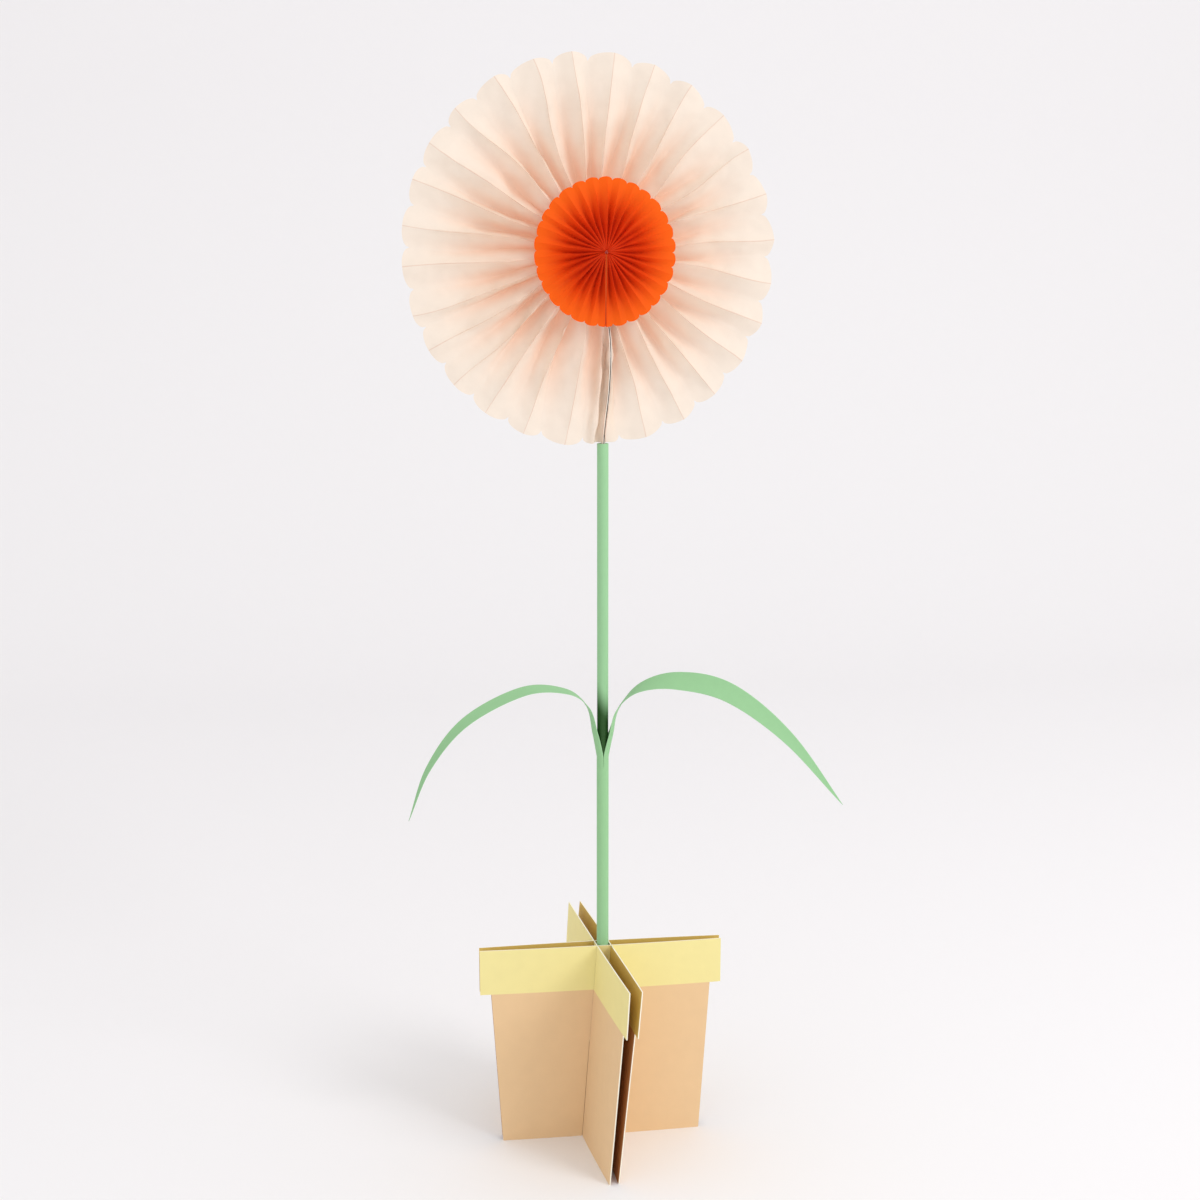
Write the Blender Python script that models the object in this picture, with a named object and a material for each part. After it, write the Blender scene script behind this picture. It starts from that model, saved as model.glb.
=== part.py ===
"""Paper flower: a pleated tissue head on a rolled stem with two leaves, in a pot of slotted cards.

Metres, +Z up, front towards -Y. The origin lies on the table, under the middle of the whole
flower's box. Everything hangs from one empty, whose own origin is the foot of the stem.
"""

import math

import bmesh
import bpy
from mathutils import Matrix, Vector

MM = 0.001
GLUE_GAP = 0.3 * MM  # left between pieces that touch

# The stem's foot, as seen from the middle of the whole flower's box
STEM_PLACE = (-12.4 * MM, 2.4 * MM, 0.0)

# Pot: two pairs of equal cards that slot into each other like a noughts-and-crosses grid
CARD = 0.9 * MM
POT_HEIGHT = 170 * MM
RIM_HEIGHT = 38.5 * MM
RIM_WIDTH = 203.5 * MM
BODY_TOP_WIDTH = 185 * MM
BODY_FOOT_WIDTH = 168 * MM
BEND_COLUMNS = 12  # straight stretches that make a card's bow
SLOT_PLAY = 0.35 * MM  # free space on each side of a card in its slot
CELL_HALF = {"across": 5.5 * MM, "along": 5.8 * MM}  # from the stem's axis to a card's middle
# The same at the card's two ends, at its foot and at its top
END_HALF = {"across": (3.6 * MM, 3.6 * MM), "along": (2.8 * MM, 5.1 * MM)}
SLIDE = {"across": -1.5 * MM, "along": 2.3 * MM}  # a card's middle, off the stem
TURN = {"across": 0.0, "along": math.radians(-83.6)}
LEAN = {"across": 0.0, "along": math.radians(4.2)}

# Stem: a rolled tube, with a kink where it enters the leaning pot
STEM_RADIUS = 4.55 * MM
STEM_WALL = 0.6 * MM
STEM_TOP = 588 * MM
KINK_HEIGHT = POT_HEIGHT - 4 * MM
TUBE_FOOT = 1 * MM  # both tubes end this far above the table
TUBE_SIDES = 24

# Leaves: a second tube over the stem, slit from SPLIT_HEIGHT up, its halves bent out
SLEEVE_RADIUS = 4.65 * MM
SLEEVE_WALL = 0.25 * MM
SPLIT_HEIGHT = 332 * MM
LEAF_STATIONS = 22
STRIP_HALF = math.pi * SLEEVE_RADIUS / 2
BLADE_HALF = 8.6 * MM
# (reach from the stem's axis, height) of each leaf's midline, mm
LEFT_LINE = ((4.65, 332), (8.5, 352), (14, 375), (31, 388), (66, 390), (114, 368), (144, 333), (160, 288))
RIGHT_LINE = ((4.65, 332), (8.5, 350), (14, 373), (31, 391), (62, 398), (104, 390), (151, 356), (196, 303))
LEFT_SWING, RIGHT_SWING = math.radians(5), math.radians(20)  # heading, towards the front
LEFT_ROLL, RIGHT_ROLL = math.radians(22), math.radians(62)  # turn of the blade's upper face

# Head: it faces HEAD_TURN to the right of the front, its tissue folded like an accordion
HEAD_TURN = math.radians(7.5)
PETAL_SIDE, CENTRE_SIDE = -8.3 * MM, -2.3 * MM  # middle of each fan, sideways off the stem
HEAD_HEIGHT = 735.4 * MM
FOLD_CUT = 0.1  # how far a fold's inner corner keeps off its middle, in sheets
PETALS = {"pleats": 28, "tip": 150 * MM, "end_tip": 146.5 * MM, "notch": 142.5 * MM, "hub": 12 * MM,
          "panel": 18 * MM, "sheet": 0.6 * MM, "rings": 9, "card": 0.6 * MM, "slit": 0.7 * MM}
CENTRE = {"pleats": 30, "tip": 56.3 * MM, "end_tip": 56.3 * MM, "notch": 54 * MM, "hub": 6 * MM,
          "panel": 6.3 * MM, "sheet": 0.3 * MM, "rings": 5, "card": 0.4 * MM, "slit": 0.3 * MM}
LOBE_SHOULDER = math.sqrt(3) / 2  # height of a round lobe halfway to its notch
# (distance from the hub, sideways) along the large fan's bowed slit, mm: it ends in the stem
SLIT_LINE = ((0, 0), (35, 7.5), (70, 12.6), (105, 12.2), (140, 8.8), (175, 8.3), (210, 8.3))
PETAL_TURN = math.radians(3.4)  # of the whole large fan about its hub, the slit to the right
PLEAT_SHIFT = math.radians(3.2)  # folds opposite the slit stand this much further round
PAD_RADIUS, PAD_HEIGHT, PAD_SIDES = 15 * MM, 3 * MM, 32
TAB_HALF, TAB_LENGTH = 2.6 * MM, 24 * MM

TERRACOTTA, GREEN, LEAF_GREEN = (0.72, 0.44, 0.24), (0.30, 0.56, 0.30), (0.32, 0.62, 0.33)
PEACH, CREAM, ORANGE = (0.86, 0.55, 0.38), (0.90, 0.82, 0.68), (0.90, 0.15, 0.01)
FOAM = (0.90, 0.90, 0.88)


def clear_scene():
    for old in list(bpy.data.objects):
        bpy.data.objects.remove(old, do_unlink=True)


def material(name, colour, roughness):
    made = bpy.data.materials.new(name)
    made.use_nodes = True
    shader = made.node_tree.nodes["Principled BSDF"]
    shader.inputs["Base Color"].default_value = (*colour, 1)
    shader.inputs["Roughness"].default_value = roughness
    shader.inputs["Metallic"].default_value = 0
    made.diffuse_color = (*colour, 1)
    return made


def add_piece(name, mesh_maker, finish, parent, smooth=False):
    """Makes the object NAME from a filled bmesh and hangs it from PARENT."""
    mesh = bpy.data.meshes.new(name)
    mesh_maker.to_mesh(mesh)
    mesh_maker.free()
    if smooth:
        mesh.shade_smooth()
        mesh.set_sharp_from_angle(angle=math.radians(30))
    mesh.materials.append(finish)
    made = bpy.data.objects.new(name, mesh)
    bpy.context.scene.collection.objects.link(made)
    made.parent = parent
    return made


def plate(outline, thickness, middle=0.0):
    """A flat plate in the XZ plane, its thickness along Y and centred on MIDDLE."""
    made = bmesh.new()
    face = made.faces.new([made.verts.new((x, middle - thickness / 2, z)) for x, z in outline])
    side = bmesh.ops.extrude_face_region(made, geom=[face])["geom"]
    moved = [item for item in side if isinstance(item, bmesh.types.BMVert)]
    bmesh.ops.translate(made, vec=(0, thickness, 0), verts=moved)
    bmesh.ops.recalc_face_normals(made, faces=made.faces)
    return made


def add_creases(made, places, normal):
    """Lines across the faces at each of PLACES along NORMAL, so that the plate can bend there."""
    for place in places:
        everything = made.verts[:] + made.edges[:] + made.faces[:]
        bmesh.ops.bisect_plane(made, geom=everything, plane_co=Vector(normal) * place, plane_no=normal)


def along_line(points, share):
    """Catmull-Rom curve through the points, SHARE from 0 to 1."""
    place = share * (len(points) - 1)
    index = min(int(place), len(points) - 2)
    t = place - index
    p1, p2 = Vector(points[index]), Vector(points[index + 1])
    p0 = Vector(points[index - 1]) if index else 2 * p1 - p2
    p3 = Vector(points[index + 2]) if index + 2 < len(points) else 2 * p2 - p1
    return 0.5 * (2 * p1 + (p2 - p0) * t + (2 * p0 - 5 * p1 + 4 * p2 - p3) * t ** 2
                  + (3 * p1 - p0 - 3 * p2 + p3) * t ** 3)


# ---------------------------------------------------------------- pot

def pot_outline(low, high):
    """Right half of a card's outline between two heights, then its mirrored left half."""
    half_foot, half_body, half_rim = BODY_FOOT_WIDTH / 2, BODY_TOP_WIDTH / 2, RIM_WIDTH / 2
    step = POT_HEIGHT - RIM_HEIGHT
    right = [(half_foot, low)]
    if high > step:
        right += [(half_body, step), (half_rim, step), (half_rim, high)]
    else:
        right += [(half_foot + (half_body - half_foot) * high / step, high)]
    return right + [(-x, z) for x, z in reversed(right)]


def bow(pair, side, x, z):
    """How far a card's middle stands off the stem's axis: widest at the stem, less at the ends."""
    share = min(1.0, abs(x) / (RIM_WIDTH / 2)) ** 2
    foot, top = END_HALF[pair]
    spread = CELL_HALF[pair] + (foot + (top - foot) * z / POT_HEIGHT - CELL_HALF[pair]) * share
    return side * spread + (z - POT_HEIGHT) * math.tan(LEAN[pair])


def pot_card(pair, side, thickness=CARD, outline=None):
    """One card, bowed around the stem; SIDE is -1 or 1 in its pair."""
    made = plate(outline or pot_outline(0, POT_HEIGHT), thickness)
    columns = [RIM_WIDTH * (column / BEND_COLUMNS - 0.5) for column in range(1, BEND_COLUMNS)]
    add_creases(made, columns, (1, 0, 0))
    for vert in made.verts:
        vert.co.y += bow(pair, side, vert.co.x, vert.co.z)
        vert.co.x += SLIDE[pair]
    made.transform(Matrix.Rotation(TURN[pair], 4, "Z"))
    return made


def slot_cutter(name, pair, side, low, high, finish, parent):
    """The stretch of a card that its neighbours make room for, SLOT_PLAY thicker on each side."""
    wide = RIM_WIDTH * 0.2
    outline = [(-wide, low), (wide, low), (wide, high), (-wide, high)]
    cutter = add_piece(name, pot_card(pair, side, CARD + 2 * SLOT_PLAY, outline), finish, parent)
    cutter.hide_render = True
    cutter.display_type = "WIRE"
    return cutter


def make_pot(parent):
    finish = material("pot_card", TERRACOTTA, 0.85)
    over, middle, play = 5 * MM, POT_HEIGHT / 2, SLOT_PLAY / 2
    cards = {
        "across": [("pot_card_front", -1), ("pot_card_back", 1)],
        "along": [("pot_card_left", -1), ("pot_card_right", 1)],
    }
    reach = {"across": (middle - play, POT_HEIGHT + over), "along": (-over, middle + play)}
    other = {"across": "along", "along": "across"}
    for pair, pieces in cards.items():
        for name, side in pieces:
            card = add_piece(name, pot_card(pair, side), finish, parent)
            for _, crossing in cards[other[pair]]:
                low, high = reach[other[pair]]
                cutter = slot_cutter(f"{name}_slot", other[pair], crossing, low, high, finish, parent)
                slot = card.modifiers.new("Slot", "BOOLEAN")
                slot.operation, slot.solver, slot.object = "DIFFERENCE", "EXACT", cutter


# ---------------------------------------------------------------- stem and leaves

def foot_shift(z):
    """Sideways shift of the stem's axis: none above the kink, then along the leaning cell."""
    return min(0.0, z - KINK_HEIGHT) * math.tan(LEAN["along"])


def ring_points(radius, z, sides=TUBE_SIDES):
    """A level ring that starts at the front and runs round by the left."""
    turns = [math.tau * index / sides for index in range(sides)]
    return [Vector((foot_shift(z) - radius * math.sin(t), -radius * math.cos(t), z)) for t in turns]


def bridge(made, lower, upper, closed=True, mirrored=False):
    """Quads between two rows of vertices that run round by the left, or by the right if mirrored."""
    count = len(lower)
    for index in range(count if closed else count - 1):
        after = (index + 1) % count
        corners = (lower[after], lower[index], upper[index], upper[after])
        made.faces.new(corners[::-1] if mirrored else corners)


def make_stem(parent):
    made = bmesh.new()
    inner = STEM_RADIUS - STEM_WALL
    loops = [(STEM_RADIUS, TUBE_FOOT), (STEM_RADIUS, KINK_HEIGHT), (STEM_RADIUS, STEM_TOP),
             (inner, STEM_TOP), (inner, KINK_HEIGHT), (inner, TUBE_FOOT)]
    rings = [[made.verts.new(point) for point in ring_points(*loop)] for loop in loops]
    for lower, upper in zip(rings, rings[1:] + rings[:1]):
        bridge(made, lower, upper)
    add_piece("stem_tube", made, material("stem_card", GREEN, 0.7), parent, smooth=True)


def smooth_step(value):
    value = max(0.0, min(1.0, value))
    return value * value * (3 - 2 * value)


def leaf_section(line, side, swing, roll, share):
    """Points across a leaf: a half tube at the split that opens flat, rolls and tapers."""
    reach, height = along_line(line, share) * MM
    ahead = (along_line(line, min(1.0, share + 0.01)) - along_line(line, share - 0.01)).normalized()
    heading = swing * smooth_step(share / 0.35)
    out = Vector((side * math.cos(heading), -math.sin(heading), 0))
    tangent = (out * ahead[0] + Vector((0, 0, 1)) * ahead[1]).normalized()
    across = Vector((side * math.sin(heading), math.cos(heading), 0))
    across.rotate(Matrix.Rotation(side * roll * smooth_step((share - 0.25) / 0.5), 3, tangent))
    face = tangent.cross(across) * side
    half = STRIP_HALF + (BLADE_HALF - STRIP_HALF) * smooth_step((share - 0.3) / 0.3)
    half *= 1 - 0.97 * max(0.0, (share - 0.62) / 0.38) ** 1.9
    curl = math.pi / 2 * (1 - 0.93 * smooth_step(share / 0.36))
    radius = half / curl
    middle = out * reach + Vector((0, 0, height))
    columns = TUBE_SIDES // 2
    angles = [curl * (2 * column / columns - 1) for column in range(columns + 1)]
    return [middle + (across * math.sin(a) + face * (1 - math.cos(a))) * radius for a in angles]


def make_leaves(parent):
    made = bmesh.new()
    heights = (TUBE_FOOT, KINK_HEIGHT, SPLIT_HEIGHT)
    rings = [[made.verts.new(point) for point in ring_points(SLEEVE_RADIUS, z)] for z in heights]
    for lower, upper in zip(rings, rings[1:]):
        bridge(made, lower, upper)
    half = TUBE_SIDES // 2
    left_start = rings[-1][: half + 1]
    right_start = [rings[-1][-index % TUBE_SIDES] for index in range(half + 1)]
    leaves = ((left_start, LEFT_LINE, -1, LEFT_SWING, LEFT_ROLL),
              (right_start, RIGHT_LINE, 1, RIGHT_SWING, RIGHT_ROLL))
    for start, line, side, swing, roll in leaves:
        before = start
        for station in range(1, LEAF_STATIONS + 1):
            share = station / LEAF_STATIONS
            row = [made.verts.new(point) for point in leaf_section(line, side, swing, roll, share)]
            bridge(made, before, row, closed=False, mirrored=side > 0)
            before = row
    sleeve = add_piece("leaf_sleeve", made, material("leaf_card", LEAF_GREEN, 0.75), parent, smooth=True)
    wall = sleeve.modifiers.new("Wall", "SOLIDIFY")
    wall.thickness, wall.offset = SLEEVE_WALL, 1


# ---------------------------------------------------------------- head

def head_frame(sideways, ahead):
    """Matrix of a place on the head: X is the head's right, -Y the way it faces and +Z up."""
    turn = Matrix.Rotation(HEAD_TURN, 4, "Z")
    return Matrix.Translation((0, 0, HEAD_HEIGHT)) @ turn @ Matrix.Translation((sideways, -ahead, 0))


def sway(point):
    """Turns a point of the large fan about the hub, so that its straight slit follows SLIT_LINE."""
    reach = math.hypot(point.x, point.z)
    aside = along_line(SLIT_LINE, reach / (SLIT_LINE[-1][0] * MM)).y * MM
    away = (1 + point.z / -reach) / 2  # 1 at the slit, 0 opposite it
    turn = PETAL_TURN + (math.asin(aside / reach) - PETAL_TURN) * away + PLEAT_SHIFT * (1 - away)
    return Matrix.Rotation(-turn, 3, "Y") @ point


def sheet_corners(fan):
    """The folded sheet's corners from one glued end panel, by ridge and valley, to the other.

    Each row is (pitches from the slit, sheets sideways on the front skin, the same on the back
    skin, 1 at a ridge and -1 at a valley, rim radius)."""
    tip, notch, pleats = fan["tip"], fan["notch"], fan["pleats"]
    mid = notch + (tip - notch) * LOBE_SHOULDER
    inner, outer = FOLD_CUT, 0.5
    lean = (outer - inner) / 2
    rows = [(0, -outer, -inner, -1, notch), (0, -outer, -inner, 0, mid), (0, -outer, -inner, 1, tip)]
    for pleat in range(pleats):
        rows += [(pleat, outer, inner, 1, tip), (pleat + 0.25, lean, -lean, 0, mid),
                 (pleat + 0.5, -inner, -outer, -1, notch), (pleat + 0.5, inner, outer, -1, notch),
                 (pleat + 0.75, -lean, lean, 0, mid), (pleat + 1, -outer, -inner, 1, tip)]
    rows += [(pleats, outer, inner, 1, tip), (pleats, outer, inner, 0, mid),
             (pleats, outer, inner, -1, notch)]
    at_slit = {0, pleats}
    return [(*row[:4], min(row[4], fan["end_tip"]) if row[0] in at_slit else row[4]) for row in rows]


def rise(fan, radius):
    """How far the ridges and valleys stand off the fan's middle, RADIUS from the hub's axis."""
    return math.sqrt(fan["panel"] ** 2 - (math.pi * radius / fan["pleats"]) ** 2) / 2


def card_front(fan, radius):
    """Depth of the slit's front edge: straight, from the ridges at the hub to those at the rim."""
    at_hub, at_tip = rise(fan, fan["hub"]), rise(fan, fan["tip"])
    return at_hub + (at_tip - at_hub) * (radius - fan["hub"]) / (fan["tip"] - fan["hub"])


def fan_ring(fan, along):
    """Front and back skin of one ring, ALONG from 0 at the hub to 1 at the rim."""
    end_gap = fan["slit"] / 2 + fan["card"] + GLUE_GAP + fan["sheet"] / 2
    front, back = [], []
    for pitches, front_side, back_side, sign, rim in sheet_corners(fan):
        radius = fan["hub"] + (rim - fan["hub"]) * along
        end = math.asin(end_gap / radius)
        turn = end + (math.tau - 2 * end) * pitches / fan["pleats"]
        middle = sign * rise(fan, radius)
        if pitches in (0, fan["pleats"]):
            middle = card_front(fan, radius) + (sign - 1) * fan["panel"] / 2
        for skin, side, lift in ((front, front_side, 1), (back, back_side, -1)):
            angle = turn + side * fan["sheet"] / radius
            depth = middle + (lift - sign) * fan["sheet"] / 2
            skin.append(Vector((-radius * math.sin(angle), -depth, -radius * math.cos(angle))))
    return front, back


def fan_solid(fan):
    """The pleated sheet as one closed body. Both its skins are split along the same diagonals, so
    that neither cuts through the other where a panel twists."""
    made = bmesh.new()
    rings = []
    for index in range(fan["rings"]):
        skins = fan_ring(fan, index / (fan["rings"] - 1))
        rings.append([[made.verts.new(point) for point in skin] for skin in skins])
    for lower, upper in zip(rings, rings[1:]):
        for low, high in zip(lower, upper):
            for index in range(len(low) - 1):
                made.faces.new((low[index], low[index + 1], high[index]))
                made.faces.new((low[index + 1], high[index + 1], high[index]))
        for end in (0, -1):
            made.faces.new((lower[0][end], lower[1][end], upper[1][end], upper[0][end]))
    for front, back in (rings[0], rings[-1]):
        for index in range(len(front) - 1):
            made.faces.new((front[index], front[index + 1], back[index + 1], back[index]))
    bmesh.ops.recalc_face_normals(made, faces=made.faces)
    return made


def card_edges(fan, radius):
    """Depths of a slit card's front and back edge, each one sheet inside the end panel's."""
    front = card_front(fan, radius) - fan["sheet"]
    return front, front - fan["panel"] + 2 * fan["sheet"]


def slit_card(fan, side, reach, tab=False):
    """A stiff strip that the sheet's end panel is glued to, standing in the slit below the hub."""
    hub_front, hub_back = card_edges(fan, fan["hub"])
    front, back = card_edges(fan, reach)
    outline = [(hub_back, -fan["hub"]), (hub_front, -fan["hub"]), (front, -reach)]
    if tab:
        end, shoulder = reach + TAB_LENGTH, reach - 12 * MM
        outline += [(TAB_HALF, -reach - 2 * MM), (TAB_HALF, -end), (-TAB_HALF, -end),
                    (-TAB_HALF, -reach), (card_edges(fan, shoulder)[1], -shoulder)]
    else:
        outline.append((back, -reach))
    made = plate(outline, fan["card"], side * (fan["slit"] + fan["card"]) / 2)
    made.transform(Matrix.Rotation(math.radians(-90), 4, "Z"))
    return made


def make_fan(name, fan, place, finish, parent, tab):
    """A pleated sheet and the two cards in its slit; TAB bows the slit and roots the cards."""
    fan_finish, card_finish = finish
    reach = fan["notch"] + (3 * MM if tab else 0)
    rows = range(1, fan["rings"])
    creases = [-fan["hub"] - (fan["notch"] - fan["hub"]) * row / (fan["rings"] - 1) for row in rows]
    pieces = [(f"{name}_fan", fan_solid(fan), fan_finish)]
    for word, side in (("left", -1), ("right", 1)):
        pieces.append((f"{name}_card_{word}", slit_card(fan, side, reach, tab), card_finish))
    for piece, made, piece_finish in pieces:
        if tab:
            if "card" in piece:
                add_creases(made, creases, (0, 0, 1))
            for vert in made.verts:
                vert.co = sway(vert.co)
        made.transform(place)
        add_piece(piece, made, piece_finish, parent)


def make_head(parent):
    petal_finish = material("petal_tissue", PEACH, 0.8), material("petal_card", CREAM, 0.8)
    centre_finish = material("centre_tissue", ORANGE, 0.7), material("centre_card", ORANGE, 0.8)
    pad_ahead = (PETALS["panel"] + PAD_HEIGHT) / 2 + GLUE_GAP
    centre_ahead = pad_ahead + (PAD_HEIGHT + CENTRE["panel"]) / 2 + GLUE_GAP
    make_fan("petal", PETALS, head_frame(PETAL_SIDE, 0), petal_finish, parent, tab=True)
    make_fan("centre", CENTRE, head_frame(CENTRE_SIDE, centre_ahead), centre_finish, parent, tab=False)
    pad = bmesh.new()
    bmesh.ops.create_cone(pad, cap_ends=True, segments=PAD_SIDES, radius1=PAD_RADIUS,
                          radius2=PAD_RADIUS, depth=PAD_HEIGHT)
    pad_place = head_frame((PETAL_SIDE + CENTRE_SIDE) / 2, pad_ahead)
    pad.transform(pad_place @ Matrix.Rotation(math.radians(90), 4, "X"))
    add_piece("glue_pad", pad, material("pad_foam", FOAM, 0.9), parent, smooth=True)


def main():
    clear_scene()
    flower = bpy.data.objects.new("flower", None)
    flower.location = STEM_PLACE
    bpy.context.scene.collection.objects.link(flower)
    make_pot(flower)
    make_stem(flower)
    make_leaves(flower)
    make_head(flower)


main()
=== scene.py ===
# %% [markdown]
# # A paper flower, piece by piece
#
# The object is a party decoration made only of paper: a pot of four slotted cards, a rolled
# stem, a second tube whose slit end opens into two leaves, and a head of two pleated tissue
# fans. Each cell below makes one of these, or one finish, and says how the real thing is made.
# All lengths are in metres, +Z is up and the front is towards -Y.

# %% Load the solids and keep their box
import math

import bmesh
import bpy
import numpy as np
from mathutils import Matrix, Vector, noise


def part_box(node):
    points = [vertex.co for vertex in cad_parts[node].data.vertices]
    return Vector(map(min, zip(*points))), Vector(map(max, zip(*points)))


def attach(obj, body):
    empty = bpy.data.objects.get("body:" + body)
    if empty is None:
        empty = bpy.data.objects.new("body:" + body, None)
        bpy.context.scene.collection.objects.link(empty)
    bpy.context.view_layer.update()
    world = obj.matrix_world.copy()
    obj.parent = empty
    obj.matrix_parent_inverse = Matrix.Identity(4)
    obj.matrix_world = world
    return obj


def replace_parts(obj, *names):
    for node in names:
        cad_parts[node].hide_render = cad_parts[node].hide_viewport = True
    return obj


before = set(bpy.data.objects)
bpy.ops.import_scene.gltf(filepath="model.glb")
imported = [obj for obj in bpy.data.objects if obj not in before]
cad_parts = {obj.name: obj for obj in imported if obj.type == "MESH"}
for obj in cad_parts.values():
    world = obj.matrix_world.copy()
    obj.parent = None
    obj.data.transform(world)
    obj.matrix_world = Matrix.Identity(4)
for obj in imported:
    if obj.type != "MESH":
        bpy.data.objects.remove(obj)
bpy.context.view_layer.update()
MM = 0.001
WELD = 0.001 * MM  # points nearer than this become one
print("solids:", ", ".join(sorted(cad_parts)))

# %% [markdown]
# ## Where things are
#
# Every piece is placed from the solids. The stem's axis is one tube radius inside the right
# side of the stem's box, because the foot of the tube only ever leans to the left. The middle
# of the head is the middle of the round pad that joins the two fans.

# %% Stem axis and head
STEM_RADIUS = 4.55 * MM
stem_low, stem_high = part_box("stem_tube")
axis_x, axis_y = stem_high.x - STEM_RADIUS, (stem_low.y + stem_high.y) / 2
pad_low, pad_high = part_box("glue_pad")
HEAD_HEIGHT = (pad_low.z + pad_high.z) / 2
HEAD_TURN = math.radians(7.5)


def on_stem(x, y, z):
    """A point given from the foot of the stem's axis."""
    return Vector((axis_x + x, axis_y + y, z))


def head_place(sideways, ahead):
    """Matrix of a place on the head: X is the head's right, -Y the way it faces, +Z up."""
    turn = Matrix.Rotation(HEAD_TURN, 4, "Z")
    return Matrix.Translation(on_stem(0, 0, HEAD_HEIGHT)) @ turn @ Matrix.Translation((sideways, -ahead, 0))


print(f"stem axis at {axis_x / MM:.1f}, {axis_y / MM:.1f} mm; head {HEAD_HEIGHT / MM:.0f} mm up")

# %% [markdown]
# ## Camera, floor and light
#
# A standard lens a little over a metre away looks slightly down: the head is seen almost level
# and the pot from above. The floor runs up into the backdrop in one smooth bend, so that no
# horizon shows. The light is an even white surround with one large soft lamp from the right,
# which is what gives a round stem its light side.

# %% Camera
CAMERA_PLACE = on_stem(-0.1818, -1.2651, 0.6919)
CAMERA_TILT, CAMERA_TURN = math.radians(79.8), math.radians(-8.08)
FOCAL_LENGTH, SENSOR_WIDTH = 48.33, 36  # mm, as on a lens

camera = bpy.data.objects.new("camera", bpy.data.cameras.new("camera"))
camera.location = CAMERA_PLACE
camera.rotation_euler = (CAMERA_TILT, 0, CAMERA_TURN)
camera.data.lens, camera.data.sensor_width = FOCAL_LENGTH, SENSOR_WIDTH
camera.data.clip_start = 0.01
bpy.context.scene.collection.objects.link(camera)
bpy.context.scene.camera = camera
bpy.context.scene.view_settings.view_transform = "Standard"
print("camera", [round(c, 3) for c in camera.location])


# %% [markdown]
# ## Helpers for meshes and materials
#
# Most pieces here are sheets, and a sheet is a grid: rows of points along it, columns across
# it. One helper turns a grid of points into a mesh. Another starts a material and hands back
# its nodes, so that each finish can be written as a few links.

# %% Mesh helpers
def add_object(name, mesh, finish):
    mesh.materials.append(finish)
    made = bpy.data.objects.new(name, mesh)
    bpy.context.scene.collection.objects.link(made)
    return made


def grid_mesh(name, rows, wrap=False, flip=False):
    """A mesh of quads through ROWS x COLUMNS points; WRAP joins the last column to the first."""
    rows = np.asarray(rows, float)
    count, across = rows.shape[:2]
    index = np.arange(count * across).reshape(count, across)
    after = np.roll(index, -1, axis=1) if wrap else index[:, 1:]
    before = index if wrap else index[:, :-1]
    quads = np.stack([before[:-1], after[:-1], after[1:], before[1:]], axis=-1).reshape(-1, 4)
    if flip:
        quads = quads[:, ::-1]
    mesh = bpy.data.meshes.new(name)
    mesh.from_pydata(rows.reshape(-1, 3).tolist(), [], quads.tolist())
    mesh.shade_smooth()
    return mesh


def store(mesh, name, values):
    """Keeps one number for each vertex, for the material to read."""
    layer = mesh.attributes.new(name, "FLOAT", "POINT")
    layer.data.foreach_set("value", np.asarray(values, np.float32).ravel())


def smooth_step(value):
    value = np.clip(value, 0.0, 1.0)
    return value * value * (3 - 2 * value)


def along_line(points, share):
    """Catmull-Rom curve through the points, SHARE from 0 to 1."""
    place = share * (len(points) - 1)
    index = min(int(place), len(points) - 2)
    t = place - index
    p1, p2 = np.array(points[index], float), np.array(points[index + 1], float)
    p0 = np.array(points[index - 1], float) if index else 2 * p1 - p2
    p3 = np.array(points[index + 2], float) if index + 2 < len(points) else 2 * p2 - p1
    return 0.5 * (2 * p1 + (p2 - p0) * t + (2 * p0 - 5 * p1 + 4 * p2 - p3) * t ** 2
                  + (3 * p1 - p0 - 3 * p2 + p3) * t ** 3)


# %% Material helpers
def start_material(name, roughness, specular=0.3):
    """A material, its nodes, its links and its Principled node."""
    made = bpy.data.materials.new(name)
    made.use_nodes = True
    nodes, links = made.node_tree.nodes, made.node_tree.links
    shader = nodes["Principled BSDF"]
    shader.inputs["Roughness"].default_value = roughness
    shader.inputs["Specular IOR Level"].default_value = specular
    return made, nodes, links, shader


def start_group(name, takes, gives):
    """A shader node group with named sockets, its input node and its output node."""
    group = bpy.data.node_groups.new(name, "ShaderNodeTree")
    for label, kind, value in takes:
        group.interface.new_socket(label, in_out="INPUT", socket_type=kind).default_value = value
    for label, kind in gives:
        group.interface.new_socket(label, in_out="OUTPUT", socket_type=kind)
    return group, group.nodes.new("NodeGroupInput"), group.nodes.new("NodeGroupOutput")


def place_group(nodes, group, **values):
    """Puts a group into a material; spaces in socket names are written as underscores."""
    node = nodes.new("ShaderNodeGroup")
    node.node_tree = group
    for label, value in values.items():
        node.inputs[label.replace("_", " ")].default_value = value
    return node


def calculate(nodes, links, operation, *values):
    """A Math node fed by numbers or sockets; returns its output."""
    node = nodes.new("ShaderNodeMath")
    node.operation = operation
    for socket, value in zip(node.inputs, values):
        if isinstance(value, bpy.types.NodeSocket):
            links.new(value, socket)
        else:
            socket.default_value = value
    return node.outputs[0]


def blend_colours(nodes, links, mask, first, second):
    """A colour Mix node between two colours or sockets, led by a mask; returns its output."""
    node = nodes.new("ShaderNodeMix")
    node.data_type = "RGBA"
    links.new(mask, node.inputs[0])
    for socket, value in ((node.inputs[6], first), (node.inputs[7], second)):
        if isinstance(value, bpy.types.NodeSocket):
            links.new(value, socket)
        else:
            socket.default_value = (*value, 1)
    return node.outputs[2]


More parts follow.
